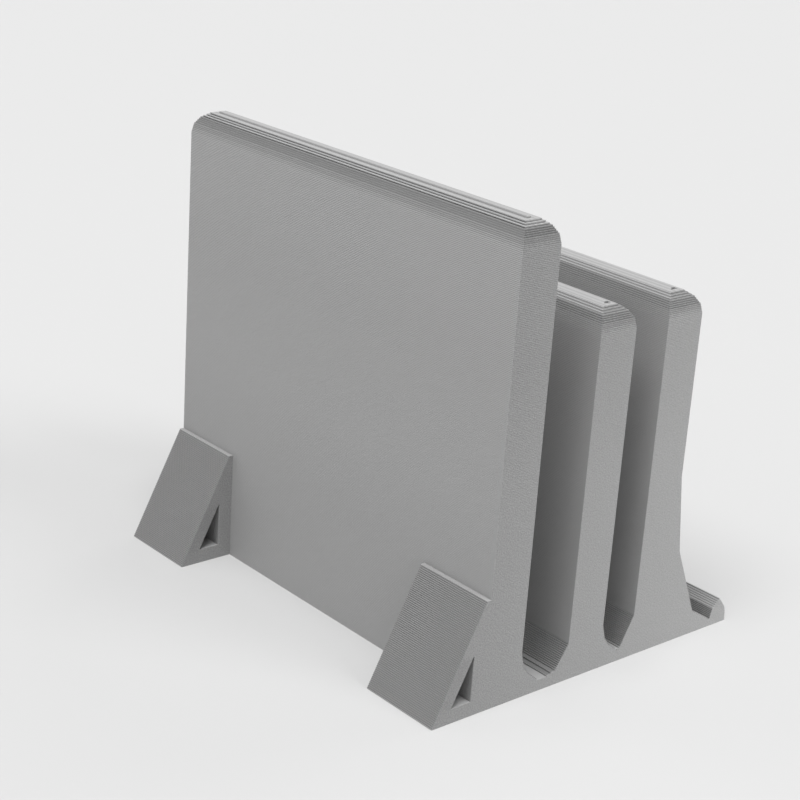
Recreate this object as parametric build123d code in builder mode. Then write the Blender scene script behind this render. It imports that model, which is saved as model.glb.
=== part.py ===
"""Upright stand that holds two closed laptops on edge, printed in one piece.

X runs across the slots, Y along them and Z up. The origin is under the middle
of the stand, on the surface that it stands on. All lengths are in millimetres.
"""

import os
from math import cos, radians, sin

from build123d import *

# Uprights and slots
length = 160.0          # along the slots
wall = 15.0             # thickness of each upright
tall = 150.0            # height of the outer upright
low = 120.0             # height of the other two
wide_slot = 20.0
narrow_slot = 14.0

# Trough at the foot of each slot, as points of run and height
trough_side = ((0.0, 15.0), (1.35, 10.0), (3.25, 7.4), (7.5, 4.0))
wide_heel = ((8.6, 4.0), (5.0, 5.1), (0.0, 12.8))
narrow_heel = ((5.1, 4.9), (0.0, 14.7))

# Crowns of the uprights: rounded right across, in straight facets, and stepped
# in the layers that they are printed in
facets = 4              # to a quarter turn
crown_layers = 14       # printed layers in the height of a crown
ridge = 1.5             # width of the single bead on top of the outer upright
pit = ((6.7, 6.3), (9.4, 6.3), (9.4, 7.8), (8.2, 7.8))  # unfilled corner of a low top
pit_layers = 2          # depth of that corner, in layers

# Flared foot of the inner upright, as points of run from its face and height
flare = ((0.0, 58.6), (3.6, 31.8), (13.8, 8.0))
tray = 23.0             # from the upright's face to the lip
tray_floor = 2.5        # thickness where the tray meets the lip

# Lip, as points of run from the tray's end and height
lip = 8.0               # width of the lip
lip_start = (1.0, 6.1)  # where its stepped slope starts
lip_crest = (4.0, 9.1)  # where its stepped slope ends
lip_round = ((5.5, 7.6), (7.3, 5.0), (7.85, 3.0), (8.0, 1.5))

# Feet on the outer side
foot_reach = 20.0
foot_width = 30.0
foot_rise = 40.0        # height at which the ramp would meet the upright
foot_top = 36.7         # height at which the ramp is cut off level
web = 5.0               # material left around the foot's window

crown = wall / 2
layer = crown / crown_layers

# Places along X, from the outer feet to the lip
across = foot_reach + 3 * wall + wide_slot + narrow_slot + tray + lip
x_toe = -across / 2
x_outer = x_toe + foot_reach
x_wide = x_outer + wall
x_middle = x_wide + wide_slot
x_narrow = x_middle + wall
x_inner = x_narrow + narrow_slot
x_face = x_inner + wall
x_lip = x_face + tray
x_end = x_lip + lip

os.makedirs("parts", exist_ok=True)


def crown_inset(drop):
    """How far in the faceted edge of a crown lies, at a depth below its top."""
    turns = [radians(90 * i / facets) for i in range(facets + 1)]
    corners = [(crown * (1 - cos(a)), crown * (1 - sin(a))) for a in turns]
    for (inset_a, drop_a), (inset_b, drop_b) in zip(corners, corners[1:]):
        if drop >= drop_b:
            return inset_a + (inset_b - inset_a) * (drop_a - drop) / (drop_a - drop_b)
    return crown


def trough(x_left, x_right, heel):
    """Outline of the material at the foot of a slot."""
    side = [(x_left + run, z) for run, z in trough_side]
    rise = [(x_right - run, z) for run, z in heel if x_right - run > side[-1][0]]
    return [(x_left, 0), *side, *rise, (x_right, 0)]


def stairs(start, end):
    """Corners of a stepped slope, one printed layer to a step, highest step full."""
    steps = round((end[1] - start[1]) / layer)
    corners = [start]
    for i in range(steps):
        z = end[1] - (steps - 1 - i) * layer
        x = start[0] + (end[0] - start[0]) * (i + 0.5) / steps
        corners += [(x, corners[-1][1]), (x, z)]
    return [*corners, end]


with BuildPart() as stand:
    # Cross-section without the crowns, drawn in X and Z
    with BuildSketch(Plane.XZ):
        for x_low, height in ((x_outer, tall), (x_middle, low), (x_inner, low)):
            with Locations((x_low, 0)):
                Rectangle(wall, height - crown, align=(Align.MIN, Align.MIN))
        slope = [(x_face + run, z) for run, z in flare]
        steps = stairs((x_lip + lip_start[0], lip_start[1]), (x_lip + lip_crest[0], lip_crest[1]))
        outside = [(x_lip + run, z) for run, z in lip_round]
        for outline in (
            trough(x_wide, x_middle, wide_heel),
            trough(x_narrow, x_inner, narrow_heel),
            [*slope, (x_lip, tray_floor), *steps, *outside, (x_end, 0), (x_face, 0)],
        ):
            with BuildLine():
                Polyline(*outline, close=True)
            make_face()
    extrude(amount=length / 2, both=True)

    # Crowns, one printed layer above the other, each a little smaller
    for x_low, height, top_layer in ((x_outer, tall, 0), (x_middle, low, 1), (x_inner, low, 1)):
        for i in range(top_layer, crown_layers):
            inset = crown_inset((i + 0.5) * layer)
            width = ridge if i == 0 else wall - 2 * inset
            with BuildSketch(Plane.XY.offset(height - (i + 1) * layer)):
                with Locations((x_low + wall / 2, 0)):
                    Rectangle(width, length - 2 * inset)
            extrude(amount=layer)

    # Unfilled corner at the near end of each low top
    for x_low in (x_middle, x_inner):
        with BuildSketch(Plane.XY.offset(low - layer)):
            with BuildLine():
                Polyline(*[(x_low + x, y - length / 2) for x, y in pit], close=True)
            make_face()
        extrude(amount=-pit_layers * layer, mode=Mode.SUBTRACT)

    # Feet: a ramp against the outer upright, with a window through it
    ramp = foot_rise / foot_reach
    for y_far in (foot_width - length / 2, length / 2):
        with BuildSketch(Plane.XZ.offset(-y_far)):
            with BuildLine():
                Polyline(
                    (x_toe, 0),
                    (x_outer, 0),
                    (x_outer, foot_top),
                    (x_toe + foot_top / ramp, foot_top),
                    close=True,
                )
            make_face()
            with BuildLine():
                window_low = x_toe + web / ramp + web
                window_high = (x_outer - web - window_low) * ramp + web
                Polyline(
                    (window_low, web),
                    (x_outer - web, web),
                    (x_outer - web, window_high),
                    close=True,
                )
            make_face(mode=Mode.SUBTRACT)
        extrude(amount=foot_width)

stand.part.label = "stand"
export_step(stand.part, "parts/stand.step")
print("volume", round(stand.part.volume / 1000, 1), "cm3", stand.part.bounding_box())
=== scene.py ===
import math
import random

import bpy
from mathutils import Matrix, Vector


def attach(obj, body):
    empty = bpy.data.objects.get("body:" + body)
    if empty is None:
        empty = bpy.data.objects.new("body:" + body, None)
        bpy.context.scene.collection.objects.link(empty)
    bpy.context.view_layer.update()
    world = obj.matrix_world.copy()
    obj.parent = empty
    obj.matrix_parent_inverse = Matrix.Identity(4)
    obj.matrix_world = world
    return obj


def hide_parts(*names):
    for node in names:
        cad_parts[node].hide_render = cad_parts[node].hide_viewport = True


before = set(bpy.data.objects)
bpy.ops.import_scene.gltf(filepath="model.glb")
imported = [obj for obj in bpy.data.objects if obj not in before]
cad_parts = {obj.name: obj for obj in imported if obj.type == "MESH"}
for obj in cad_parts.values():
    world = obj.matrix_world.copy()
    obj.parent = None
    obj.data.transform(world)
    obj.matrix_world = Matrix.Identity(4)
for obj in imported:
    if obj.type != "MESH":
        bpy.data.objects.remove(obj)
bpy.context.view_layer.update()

chance = random.Random(11)

# Sizes in millimetres, in the frame of the CAD model
MM = 0.001
CROWN, CROWN_LAYERS, FACETS = 7.5, 14, 4  # height, printed layers, and facets to a quarter turn
LAYER = CROWN / CROWN_LAYERS
TALL_LAYERS, LOW_LAYERS = 280, 224
RIDGE = 1.48                              # width of the single bead on top of the tall wall
NEAR, FAR = -80.0, 80.0
X_TOE, X_OUTER, X_WIDE, X_MIDDLE, X_NARROW, X_INNER, X_FACE = -65, -45, -30, -10, 5, 19, 34
UPRIGHTS = (X_OUTER, X_WIDE, X_MIDDLE, X_NARROW, X_INNER, X_FACE)
FOOT_TOP, FOOT_WIDTH, WEB, RAMP = 36.7, 30, 5.0, 2.0
LIP_START = 6.1                           # height at which the lip's steps start
SKY = 999                                 # above every wall
TINY = 1e-9                               # less than any step in an outline

# Cross-section below the crowns, from the outer foot of the wall round to its top
SECTION = [
    (-45, 0), (65, 0), (65, 1.5), (64.85, 3), (64.3, 5), (62.5, 7.6), (61, 9.1), (58, 6.1),
    (57, 2.5), (47.8, 8), (37.6, 31.8), (34, 58.6), (34, SKY), (19, SKY), (19, 14.7), (13.9, 4.9),
    (12.5, 4), (8.25, 7.4), (6.35, 10), (5, 15), (5, SKY), (-10, SKY), (-10, 12.8), (-15, 5.1),
    (-18.6, 4), (-22.5, 4), (-26.75, 7.4), (-28.65, 10), (-30, 15), (-30, SKY), (-45, SKY),
]
# Unfilled corner of a low top, and its layers, counted from 0 where a ridge would be
PIT = [(6.7, 6.3), (9.4, 6.3), (9.4, 7.8), (8.2, 7.8)]
PIT_LAYERS = (1, 2)
# Levels open to the light, as x0, x1, y0, y1 and layer: each slot's foot and each window's sill
OPEN_LEVELS = (
    (-24.0, -17.0, NEAR, FAR, 7),
    (11.2, 14.0, NEAR, FAR, 8),
    (-57.4, -50.0, NEAR, NEAR + FOOT_WIDTH, 9),
    (-57.4, -50.0, FAR - FOOT_WIDTH, FAR, 9),
)
FILM, FILM_EDGE, FILM_GAP = 0.02, 0.01, 0.08  # half the thickness, rounding, and gap at the ends

# How far the sides of a printed layer draw in at its foot, where they are plain. The walls' groove
# deepens from fine to full, from the one height and over the other
FINE_GROOVE, RIDGE_GROOVE, CROWN_GROOVE, GROOVE = 0.04, 0.05, 0.08, 0.1
GROOVE_FROM, GROOVE_RISE = 60, 50
# The same where they are stepped, with the other slopes by the height above which each holds
RAMP_DEEP, CROWN_DEEP = 0.13, 0.42
SLOPE_DEEP = ((31.8, 0.04), (15, 0.08), (6, 0.24), (0, 0.16))
# How far they draw in at the layer's top
EDGE, RIDGE_EDGE, LIP_EDGE, LOW_EDGE = 0.05, 0.15, 0.22, 0.25
CORNER, SMALLEST_CORNER = 0.2, 0.02       # radius of a layer's upright corners
CORNER_TURNS = (0, 45, 90)                # degrees, at the points that round a corner
HALF_LEFT = 0.1                           # half of the width that the narrowest layer keeps
SCATTER = 0.004                           # each layer is this much larger or smaller at most
# Share of the layer's height, of the groove on a plain side, and of the one on a stepped side
FOOT_LOOPS = ((0, 1, 1), (0.25, 0.3, 0.6), (0.5, 0, 0.15))
# Share of the height at a layer's shoulder, the share of the top's inset that a tight and a wide
# shoulder have, and the inset above which it is wide
SHOULDER_AT, TIGHT, WIDE, WIDE_FROM = 0.8, 0.2, 0.65, 0.2

# Greys of the print: the plain grey, then painted shade: dark on the crowns' fused layers, the low
# crowns' ends and the lip's inner face, two paler greys where that fades into the wall, and two for
# treads in shade
GREYS = (0.4, 0.25, 0.33, 0.38, 0.21, 0.145)
PLAIN, DARK_SHADE, MID_SHADE, FAINT_SHADE, TREAD_SHADE, DEEP_SHADE = range(6)
# Layers of a crown, counted from its top, at which its open steps and each grey of painted shade
# below them end
OPEN_STEPS, DARK_SHADE_END, DEEP_SHADE_END, MID_SHADE_END, FAINT_SHADE_END = 4, 8, 9, 11, 13
# Side faces of a layer with four corners of three points each: all, its two ends, and its lower X
SIDES = 12
AROUND, ENDS, INSIDE = range(SIDES), (1, 2, 3, 7, 8, 9), (0, 10, 11)


def spans(z):
    """Filled stretches of X at a height."""
    cuts = []
    for (xa, za), (xb, zb) in zip(SECTION, SECTION[1:] + SECTION[:1]):
        if (za <= z) != (zb <= z):
            cuts.append(xa + (xb - xa) * (z - za) / (zb - za))
    cuts.sort()
    return list(zip(cuts[::2], cuts[1::2]))


def crown_inset(drop):
    """Inset of the faceted crown at a depth below its top."""
    turns = [math.radians(90 * i / FACETS) for i in range(FACETS + 1)]
    corners = [(CROWN * (1 - math.cos(a)), CROWN * (1 - math.sin(a))) for a in turns]
    for (ia, da), (ib, db) in zip(corners, corners[1:]):
        if drop >= db:
            return ia + (ib - ia) * (da - drop) / (da - db)
    return CROWN


def rect(x0, x1, y0, y1):
    """Corners of a rectangle, from the lowest, anticlockwise from above."""
    return [(x0, y0), (x1, y0), (x1, y1), (x0, y1)]


def sign(v):
    """-1, 0 or 1."""
    return (v > TINY) - (v < -TINY)


def ring(outline, inset, radius, deep_at=(), deep=0.0):
    """A square-cornered outline drawn in by inset, or by deep at some X, and rounded outside."""
    out = []
    for i, p in enumerate(outline):
        a, b = outline[i - 1], outline[(i + 1) % len(outline)]
        d1 = (sign(p[0] - a[0]), sign(p[1] - a[1]))
        d2 = (sign(b[0] - p[0]), sign(b[1] - p[1]))
        x = p[0] - (deep if p[0] in deep_at else inset) * (d1[1] + d2[1])
        y = p[1] + inset * (d1[0] + d2[0])
        r = max(radius - inset, SMALLEST_CORNER)
        if d1[0] * d2[1] - d1[1] * d2[0] > 0:
            cx, cy = x + r * (d2[0] - d1[0]), y + r * (d2[1] - d1[1])
            for t in CORNER_TURNS:
                c, s = math.cos(math.radians(t)), math.sin(math.radians(t))
                out.append((cx - r * d2[0] * c + r * d1[0] * s, cy - r * d2[1] * c + r * d1[1] * s))
        else:
            out.append((x, y))
    return out


class Skin:
    """Points and faces of the print, and the grey of each face that may not be plain, which is
    painted shade.
    """

    def __init__(self):
        self.points = []
        self.faces = []
        self.tones = {}

    def loop(self, flat, z):
        """Add the points of an outline at a height."""
        start = len(self.points)
        self.points += [(x * MM, y * MM, z * MM) for x, y in flat]
        return list(range(start, len(self.points)))

    def band(self, low, high):
        """Add the faces between two loops of as many points."""
        for i in range(len(low)):
            k = (i + 1) % len(low)
            self.faces.append((low[i], low[k], high[k], high[i]))

    def slab(self, outline, z0, z1, under, deep_at=(), deep=0.0, over=EDGE, pit=None,
             toned=(), tone=PLAIN, cap_tone=PLAIN):
        """One printed layer, closed all round.

        Its sides draw in by under at the foot, or by deep at some X, and by over at the top. A pit
        is a hole with four corners. The side faces in toned have the grey tone, and the top has the
        grey cap_tone.
        """
        first = len(self.faces)
        xs = [p[0] for p in outline]
        room = (max(xs) - min(xs)) / 2 - HALF_LEFT
        under, deep, over, radius = (min(v, room) for v in (under, deep, over, CORNER))
        shift = chance.uniform(-SCATTER, SCATTER)
        loops = []
        for t, plain, steep in FOOT_LOOPS:
            flat = ring(outline, shift + plain * under, radius, deep_at, shift + steep * deep)
            loops.append(self.loop(flat, z0 + t * (z1 - z0)))
        for t, share in ((SHOULDER_AT, WIDE if over > WIDE_FROM else TIGHT), (1, 1)):
            loops.append(self.loop(ring(outline, shift + share * over, radius), z0 + t * (z1 - z0)))
        for low, high in zip(loops, loops[1:]):
            self.band(low, high)
        for f in range(first, len(self.faces)):
            if (f - first) % SIDES in toned:
                self.tones[f] = tone
        if not pit:
            self.faces.append(tuple(reversed(loops[0])))
            self.tones[len(self.faces)] = cap_tone
            self.faces.append(tuple(loops[-1]))
            return
        inner = [self.loop(pit, z) for z in (z0, z1)]
        self.band(inner[1], inner[0])
        # Below and above, three faces go round the pit: o is the outer loop and p the pit's
        for o, p, up in ((loops[0], inner[0], False), (loops[-1], inner[1], True)):
            left = o[9:12] + o[0:3] + [p[0], p[3]]
            right = o[3:10] + [p[3], p[2], p[1]]
            for cap in (left, [o[2], o[3], p[1], p[0]], right):
                self.tones[len(self.faces)] = cap_tone if up else PLAIN
                self.faces.append(tuple(cap if up else reversed(cap)))


def feet(z):
    """X at which the wall with its feet starts at a height, and the ramps outside the windows."""
    x_ramp = X_TOE + z / RAMP
    x_web = X_TOE + WEB / RAMP + WEB + (z - WEB) / RAMP
    if WEB < z and x_web < X_OUTER - WEB:
        return X_OUTER - WEB, [(x_ramp, x_web)]
    return x_ramp, []


def foot_layer(skin, x0, x1, z, heights, slanted, cap_tone):
    """One layer of the tall wall with its two feet, and low down of the base that walls share."""
    xf, loose = feet(z)
    outline = [
        (xf, NEAR), (x1, NEAR), (x1, FAR), (xf, FAR), (xf, FAR - FOOT_WIDTH),
        (x0, FAR - FOOT_WIDTH), (x0, NEAR + FOOT_WIDTH), (xf, NEAR + FOOT_WIDTH),
    ]
    skin.slab(outline, *heights, FINE_GROOVE, [xf, *slanted], RAMP_DEEP, cap_tone=cap_tone)
    for xa, xb in loose:
        for y in (NEAR, FAR - FOOT_WIDTH):
            box = rect(xa, xb, y, y + FOOT_WIDTH)
            skin.slab(box, *heights, GROOVE, [xa], RAMP_DEEP, cap_tone=cap_tone)


def crown_layer(skin, x0, x1, heights, below_top, tall):
    """One layer of a crown: open steps at its top, then fused layers whose painted shade fades into
    the wall.
    """
    inset = crown_inset((below_top + 0.5) * LAYER)
    xa, xb = x0 + inset, x1 - inset
    if below_top == 0:
        middle = (x0 + x1) / 2
        xa, xb = middle - RIDGE / 2, middle + RIDGE / 2
    box = rect(xa, xb, NEAR + inset, FAR - inset)
    if below_top == 0:
        skin.slab(box, *heights, RIDGE_GROOVE, over=RIDGE_EDGE)
    elif tall and below_top < OPEN_STEPS:
        skin.slab(box, *heights, GROOVE, (xa, xb), CROWN_DEEP)
    elif below_top < OPEN_STEPS:
        pit = [(x0 + x, NEAR + y) for x, y in PIT] if below_top in PIT_LAYERS else None
        # Painted shade on the ends of the open steps, and on the tops of all but the highest
        cap_tone = DARK_SHADE if below_top > 1 else PLAIN
        skin.slab(
            box, *heights, FINE_GROOVE, over=LOW_EDGE, pit=pit,
            toned=ENDS, tone=DARK_SHADE, cap_tone=cap_tone,
        )
    else:
        # Painted shade on the fused layers, fading into the wall, and darker still on their tops
        fade = (
            (DARK_SHADE_END, DARK_SHADE if tall else MID_SHADE), (MID_SHADE_END, MID_SHADE),
            (FAINT_SHADE_END, FAINT_SHADE), (CROWN_LAYERS, PLAIN),
        )
        tone = next(grey for end, grey in fade if below_top < end)
        deep_shade = not tall and below_top < DEEP_SHADE_END
        cap_tone = DARK_SHADE if below_top == OPEN_STEPS else DEEP_SHADE if deep_shade else TREAD_SHADE
        flush = (xa, xb) if tall and below_top < DARK_SHADE_END else ()
        toned = AROUND if tall else ENDS
        skin.slab(
            box, *heights, CROWN_GROOVE, flush, 0.0,
            toned=toned, tone=tone, cap_tone=cap_tone,
        )


def wall_layer(skin, x0, x1, z, heights, slanted, cap_tone):
    """One layer of a wall, or of the lip."""
    box = rect(x0, x1, NEAR, FAR)
    if x0 > X_FACE and z > LIP_START:
        skin.slab(box, *heights, FINE_GROOVE, over=LIP_EDGE)
    elif x0 > X_FACE:
        # Below its steps, the lip's inner face gets painted shade
        skin.slab(box, *heights, FINE_GROOVE, toned=INSIDE, tone=DARK_SHADE)
    else:
        risen = min(max((z - GROOVE_FROM) / GROOVE_RISE, 0), 1)
        groove = FINE_GROOVE + (GROOVE - FINE_GROOVE) * risen
        deep = next(depth for height, depth in SLOPE_DEEP if z > height)
        skin.slab(box, *heights, groove, slanted, deep, cap_tone=cap_tone)


skin = Skin()
for i in range(TALL_LAYERS):
    heights = i * LAYER, (i + 1) * LAYER
    z = sum(heights) / 2
    for x0, x1 in spans(z):
        tall = x0 == X_OUTER
        below_top = (TALL_LAYERS if tall else LOW_LAYERS) - 1 - i
        if not tall and below_top < 1:
            continue
        slanted = [x for x in (x0, x1) if x not in UPRIGHTS]
        # The lip's steps and the feet's tops are open to the light; the other treads get painted
        # shade
        cap_tone = PLAIN if z < FOOT_TOP < z + LAYER or x0 > X_FACE else TREAD_SHADE
        if z < FOOT_TOP and tall:
            foot_layer(skin, x0, x1, z, heights, slanted, cap_tone)
        elif below_top < CROWN_LAYERS:
            crown_layer(skin, x0, x1, heights, below_top, tall)
        else:
            wall_layer(skin, x0, x1, z, heights, slanted, cap_tone)
for x0, x1, y0, y1, layer in OPEN_LEVELS:
    # A plain film over the painted shade of the treads there, thinner than any step
    z = layer * LAYER
    box = rect(x0, x1, y0 + FILM_GAP, y1 - FILM_GAP)
    skin.slab(box, z - FILM, z + FILM, FILM_EDGE, over=FILM_EDGE)

mesh = bpy.data.meshes.new("printed_stand")
mesh.from_pydata(skin.points, [], skin.faces)
mesh.validate()
stand = bpy.data.objects.new("printed_stand", mesh)
bpy.context.scene.collection.objects.link(stand)
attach(stand, "root")
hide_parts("stand")


def material(name, grey, roughness):
    """A plain grey surface, with its node tree and shader."""
    m = bpy.data.materials.new(name)
    m.use_nodes = True
    shader = m.node_tree.nodes["Principled BSDF"]
    shader.inputs["Base Color"].default_value = (grey, grey, grey, 1)
    shader.inputs["Roughness"].default_value = roughness
    return m, m.node_tree, shader


def maths(tree, operation, *values):
    """One Math node on values that are numbers or sockets."""
    n = tree.nodes.new("ShaderNodeMath")
    n.operation = operation
    for socket, value in zip(n.inputs, values):
        if isinstance(value, bpy.types.NodeSocket):
            tree.links.new(value, socket)
        else:
            socket.default_value = value
    return n.outputs[0]


def over_height(tree, height, low, high, value_low, value_high):
    """A value that changes evenly between two heights in millimetres, and is level beyond them."""
    n = tree.nodes.new("ShaderNodeMapRange")
    tree.links.new(height, n.inputs["Value"])
    n.inputs["From Min"].default_value = low * MM
    n.inputs["From Max"].default_value = high * MM
    n.inputs["To Min"].default_value = value_low
    n.inputs["To Max"].default_value = value_high
    return n.outputs[0]


# Finish of the print, and painted light. Sizes are in millimetres, and darkness is a share of the
# grey
LEVEL_FROM, END_FROM = 0.95, 0.7          # least Z of a level face's normal, least Y of an end's
SEAM, SEAM_DARK, SEAM_ABOVE = 2.147, 0.24, 100  # spacing and darkness of the lines on the tops
JOINT_NONE, JOINT_FULL, JOINT_DARK = 75, 115, 0.24  # heights between which the joints come up
JOINT_LOST, JOINT_EVEN = 0.8, 0.06        # share the ends lack, and the darkness without a wave
SPECK_SCALE, SPECK_DETAIL = 2400, 2
SPECKLE, END_SPECKLE = 0.12, 0.75         # strength everywhere, and what the ends have besides
PAINTED_LIGHT_FROM, PAINTED_LIGHT_TO = 40, 130            # heights between which painted light makes the long faces lighter,
LONG_LOW, LONG_HIGH = 0.93, 1.09          # from this share of the grey to this one
END_MIDDLE, END_RISE = 0.95, 2.6          # painted light: share on the middle of an end, and its rise in a metre
BEAD, BEAD_HEIGHT, BEAD_STRENGTH = 1.1, 0.1, 0.25


def printed(name, light, jointed):
    """Layered print in a plain grey, with or without dark joints between its layers."""
    grey, tree, shader = material(name, light, roughness=0.55)

    def of(operation, *values):
        return maths(tree, operation, *values)

    where = tree.nodes.new("ShaderNodeTexCoord").outputs["Object"]
    split = tree.nodes.new("ShaderNodeSeparateXYZ")
    tree.links.new(where, split.inputs[0])
    x, z = split.outputs["X"], split.outputs["Z"]
    facing = tree.nodes.new("ShaderNodeNewGeometry")
    normal = tree.nodes.new("ShaderNodeSeparateXYZ")
    tree.links.new(facing.outputs["True Normal"], normal.inputs[0])
    # 1 on level faces, and on the two ends of the walls, and 0 elsewhere
    level = of("GREATER_THAN", normal.outputs["Z"], LEVEL_FROM)
    end = of("GREATER_THAN", of("ABSOLUTE", normal.outputs["Y"]), END_FROM)

    # Fine lines between the beads that lie side by side on the tops of the walls
    wave = of("COSINE", of("MULTIPLY", x, 2 * math.pi / (SEAM * MM)))
    seam = of("POWER", of("MULTIPLY", of("ADD", wave, 1), 0.5), 3)
    seam = of("MULTIPLY", of("MULTIPLY", seam, SEAM_DARK), level)
    seam = of("MULTIPLY", seam, of("GREATER_THAN", z, SEAM_ABOVE * MM))

    # Darker joints between the layers, on the upper half of the long faces and less on the ends
    strength = over_height(tree, z, JOINT_NONE, JOINT_FULL, 0.0, JOINT_DARK)
    strength = of("MULTIPLY", strength, of("MULTIPLY_ADD", end, -JOINT_LOST, 1.0))
    wave = of("COSINE", of("MULTIPLY", z, 2 * math.pi / (LAYER * MM)))
    joint = of("ADD", of("MULTIPLY", wave, strength), JOINT_EVEN)
    joint = of("MULTIPLY", joint, of("SUBTRACT", 1.0, level) if jointed else 0.0)

    # Speckle, coarsest on the ends
    speck = tree.nodes.new("ShaderNodeTexNoise")
    tree.links.new(where, speck.inputs["Vector"])
    speck.inputs["Scale"].default_value = SPECK_SCALE
    speck.inputs["Detail"].default_value = SPECK_DETAIL
    gain = of("MULTIPLY_ADD", end, END_SPECKLE, SPECKLE)
    grain = of("MULTIPLY", of("SUBTRACT", speck.outputs["Fac"], 0.5), gain)

    # Painted light: the long faces lighter towards the top, and the ends lighter towards the lip
    long_face_light = over_height(tree, z, PAINTED_LIGHT_FROM, PAINTED_LIGHT_TO, LONG_LOW, LONG_HIGH)
    end_face_light = of("MULTIPLY_ADD", x, END_RISE, END_MIDDLE)
    painted_light = of("MULTIPLY_ADD", end, of("SUBTRACT", end_face_light, long_face_light), long_face_light)

    shade = tree.nodes.new("ShaderNodeVectorMath")
    shade.operation = "SCALE"
    shade.inputs[0].default_value = (light, light, light)
    total = of("SUBTRACT", of("ADD", grain, painted_light), of("ADD", joint, seam))
    tree.links.new(total, shade.inputs["Scale"])
    tree.links.new(shade.outputs[0], shader.inputs["Base Color"])

    # Rounded beads side by side on level faces
    beads = of("ABSOLUTE", of("SINE", of("MULTIPLY", x, 2 * math.pi / (BEAD * MM))))
    bump = tree.nodes.new("ShaderNodeBump")
    bump.inputs["Strength"].default_value = BEAD_STRENGTH
    bump.inputs["Distance"].default_value = BEAD_HEIGHT * MM
    tree.links.new(of("MULTIPLY", beads, level), bump.inputs["Height"])
    tree.links.new(bump.outputs["Normal"], shader.inputs["Normal"])
    return grey


# One material for each grey; all but the plain one are painted shade
for i, light in enumerate(GREYS):
    mesh.materials.append(printed(f"printed_grey_{i}", light, i != DARK_SHADE))
for i, tone in skin.tones.items():
    mesh.polygons[i].material_index = tone

# Floor
REACH = 40  # metres
floor_mesh = bpy.data.meshes.new("floor")
corners = [(x, y, 0) for x, y in rect(-REACH, REACH, -REACH, REACH)]
floor_mesh.from_pydata(corners, [], [(0, 1, 2, 3)])
floor = bpy.data.objects.new("floor", floor_mesh)
bpy.context.scene.collection.objects.link(floor)
pale, _, pale_shader = material("pale_floor", grey=0.6, roughness=0.9)
pale_shader.inputs["Specular IOR Level"].default_value = 0.1
floor_mesh.materials.append(pale)

# Light: even surroundings, and soft lights from above and from the sides
SURROUNDINGS = 0.253
BEYOND_FLOOR = 0.83  # as pale as the floor looks, for what the camera sees past the floor's edge
SUN_DISTANCE = 2     # metres, which make no difference to the light
world = bpy.data.worlds.new("surroundings")
world.use_nodes = True
background = world.node_tree.nodes["Background"]
background.inputs["Color"].default_value = (1, 1, 1, 1)
seen = world.node_tree.nodes.new("ShaderNodeLightPath").outputs["Is Camera Ray"]
extra = BEYOND_FLOOR - SURROUNDINGS
brightness = maths(world.node_tree, "MULTIPLY_ADD", seen, extra, SURROUNDINGS)
world.node_tree.links.new(brightness, background.inputs["Strength"])
bpy.context.scene.world = world


def sun(name, toward, elevation, angle, strength):
    """A soft light from the side that toward (x, y) points at."""
    data = bpy.data.lights.new(name, "SUN")
    data.energy = strength
    data.angle = math.radians(angle)
    flat = Vector((toward[0], toward[1], 0)).normalized() * math.cos(math.radians(elevation))
    source = flat + Vector((0, 0, math.sin(math.radians(elevation))))
    lamp = bpy.data.objects.new(name, data)
    lamp.rotation_euler = source.to_track_quat("Z", "Y").to_euler()
    lamp.location = source * SUN_DISTANCE
    bpy.context.scene.collection.objects.link(lamp)


# Name, side (x, y), elevation and spread in degrees, and strength
SUNS = (
    ("overhead", (0, -0.01), 89.9, 50, 0.15),
    ("high", (-0.5, -1), 78, 20, 1.44),
    ("high_left", (-1, -0.2), 60, 25, 1.06),
    ("high_front_left", (-0.6, -1), 60, 25, 0.16),
    ("front", (0.45, -1), 38, 25, 0.81),
    ("front_left", (-0.6, -1), 35, 25, 0.13),
    ("left", (-1, 0), 36, 30, 0.13),
    ("back", (-0.7, 1), 40, 30, 0.12),
    ("right", (1, 0.1), 40, 40, 0.39),
)
for row in SUNS:
    sun(*row)

# Camera, solved from the photograph: its place in metres, and its three axes
PLACE = (-0.39548, -0.43140, 0.27951)
RIGHT = Vector((0.764020, -0.642027, 0.063843))
UP = Vector((0.176960, 0.303679, 0.936196))
FORWARD = Vector((0.620451, 0.703974, -0.345630))
camera_data = bpy.data.cameras.new("camera")
camera_data.sensor_width = 36
camera_data.lens = 84.751
camera_data.clip_end = 50
camera = bpy.data.objects.new("camera", camera_data)
turn = Matrix((RIGHT, UP, -FORWARD)).transposed().to_4x4()
camera.matrix_world = Matrix.Translation(PLACE) @ turn
bpy.context.scene.collection.objects.link(camera)
bpy.context.scene.camera = camera
bpy.context.scene.view_settings.view_transform = "Standard"

bpy.context.view_layer.update()
